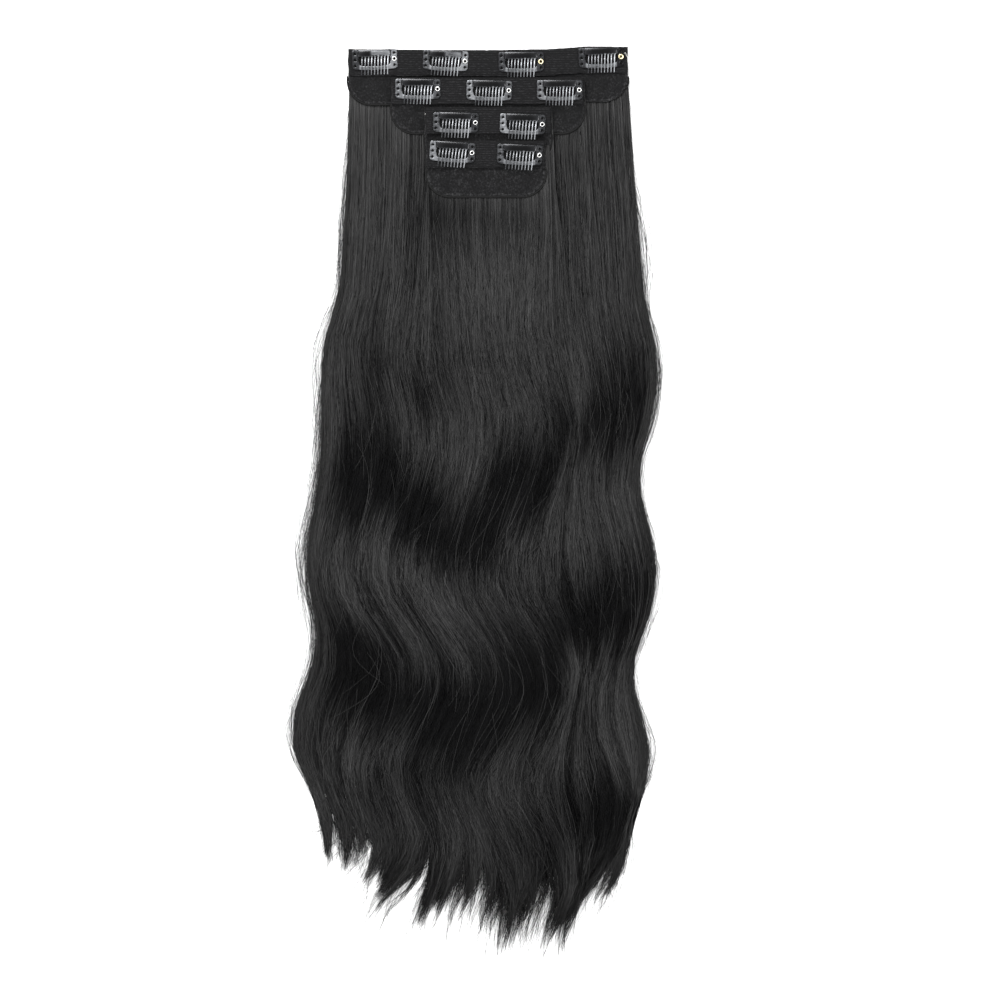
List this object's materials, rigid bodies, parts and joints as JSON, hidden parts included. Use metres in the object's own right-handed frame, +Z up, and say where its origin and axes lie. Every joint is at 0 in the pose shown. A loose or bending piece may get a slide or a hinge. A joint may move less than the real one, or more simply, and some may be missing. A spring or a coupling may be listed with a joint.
{
  "type": "clip-in hair extension",
  "caption": "Long wavy near black clip-in hair extension, its wefts laid out flat and overlapping with their snap clips up.",
  "frame": {"origin": "on the surface that the wefts lie on, under their centre line, halfway along the hair", "axes": "+Y from the tips to the clipped ends, +X across the wefts to the clips' rivets, +Z up to the side with the clips"},
  "size_m": [0.2588, 0.657, 0.0185],
  "materials": {
    "hair": "satin",
    "felt": "matte",
    "tape": "matte",
    "enamel": "gloss",
    "nickel": "polished",
    "brass": "polished"
  },
  "bodies": {
    "wefts": {"weft_1_hair": "hair", "weft_1_backing": "felt", "weft_1_tape": "tape", "weft_2_hair": "hair", "weft_2_backing": "felt", "weft_2_tape": "tape", "weft_3_hair": "hair", "weft_3_backing": "felt", "weft_3_tape": "tape", "weft_4_hair": "hair", "weft_4_backing": "felt", "weft_4_tape": "tape", "clip_1a_frame": "enamel", "clip_1a_eyelet": "nickel", "clip_1b_frame": "enamel", "clip_1b_eyelet": "nickel", "clip_1c_frame": "enamel", "clip_1c_eyelet": "brass", "clip_1d_frame": "enamel", "clip_1d_eyelet": "brass", "clip_2a_frame": "enamel", "clip_2a_eyelet": "nickel", "clip_2b_frame": "enamel", "clip_2b_eyelet": "nickel", "clip_2c_frame": "enamel", "clip_2c_eyelet": "nickel", "clip_3a_frame": "enamel", "clip_3a_eyelet": "nickel", "clip_3b_frame": "enamel", "clip_3b_eyelet": "nickel", "clip_4a_frame": "enamel", "clip_4a_eyelet": "nickel", "clip_4b_frame": "enamel", "clip_4b_eyelet": "nickel"},
    "clip_1a": {"clip_1a_comb": "enamel"},
    "clip_1b": {"clip_1b_comb": "enamel"},
    "clip_1c": {"clip_1c_comb": "enamel"},
    "clip_1d": {"clip_1d_comb": "enamel"},
    "clip_2a": {"clip_2a_comb": "enamel"},
    "clip_2b": {"clip_2b_comb": "enamel"},
    "clip_2c": {"clip_2c_comb": "enamel"},
    "clip_3a": {"clip_3a_comb": "enamel"},
    "clip_3b": {"clip_3b_comb": "enamel"},
    "clip_4a": {"clip_4a_comb": "enamel"},
    "clip_4b": {"clip_4b_comb": "enamel"}
  },
  "joints": [
    {"name": "clip_1a_snap", "type": "hinge", "parent": "wefts", "child": "clip_1a", "pos_m": [-0.08077, 0.3267, 0.0056], "axis": [-0.9992, -0.0401, 0], "range_deg": [0, 40]},
    {"name": "clip_1b_snap", "type": "hinge", "parent": "wefts", "child": "clip_1b", "pos_m": [-0.02991, 0.326, 0.0056], "axis": [-0.999, 0.0454, 0], "range_deg": [0, 40]},
    {"name": "clip_1c_snap", "type": "hinge", "parent": "wefts", "child": "clip_1c", "pos_m": [0.02347, 0.325, 0.0056], "axis": [-0.9999, -0.0105, 0], "range_deg": [0, 40]},
    {"name": "clip_1d_snap", "type": "hinge", "parent": "wefts", "child": "clip_1d", "pos_m": [0.08015, 0.32812, 0.0056], "axis": [-0.9993, -0.0366, 0], "range_deg": [0, 40]},
    {"name": "clip_2a_snap", "type": "hinge", "parent": "wefts", "child": "clip_2a", "pos_m": [-0.04962, 0.30532, 0.0099], "axis": [-0.9999, 0.0105, 0], "range_deg": [0, 40]},
    {"name": "clip_2b_snap", "type": "hinge", "parent": "wefts", "child": "clip_2b", "pos_m": [0.00096, 0.30428, 0.0099], "axis": [-0.9998, 0.0192, 0], "range_deg": [0, 40]},
    {"name": "clip_2c_snap", "type": "hinge", "parent": "wefts", "child": "clip_2c", "pos_m": [0.0508, 0.30442, 0.0099], "axis": [-1, 0, 0], "range_deg": [0, 40]},
    {"name": "clip_3a_snap", "type": "hinge", "parent": "wefts", "child": "clip_3a", "pos_m": [-0.02274, 0.28119, 0.01254], "axis": [-0.9998, 0.0192, 0], "range_deg": [0, 40]},
    {"name": "clip_3b_snap", "type": "hinge", "parent": "wefts", "child": "clip_3b", "pos_m": [0.02471, 0.28016, 0.01254], "axis": [-0.9996, 0.0297, 0], "range_deg": [0, 40]},
    {"name": "clip_4a_snap", "type": "hinge", "parent": "wefts", "child": "clip_4a", "pos_m": [-0.02475, 0.26015, 0.0149], "axis": [-0.9981, 0.061, 0], "range_deg": [0, 40]},
    {"name": "clip_4b_snap", "type": "hinge", "parent": "wefts", "child": "clip_4b", "pos_m": [0.02275, 0.25825, 0.0149], "axis": [-0.999, 0.0436, 0], "range_deg": [0, 40]}
  ]
}
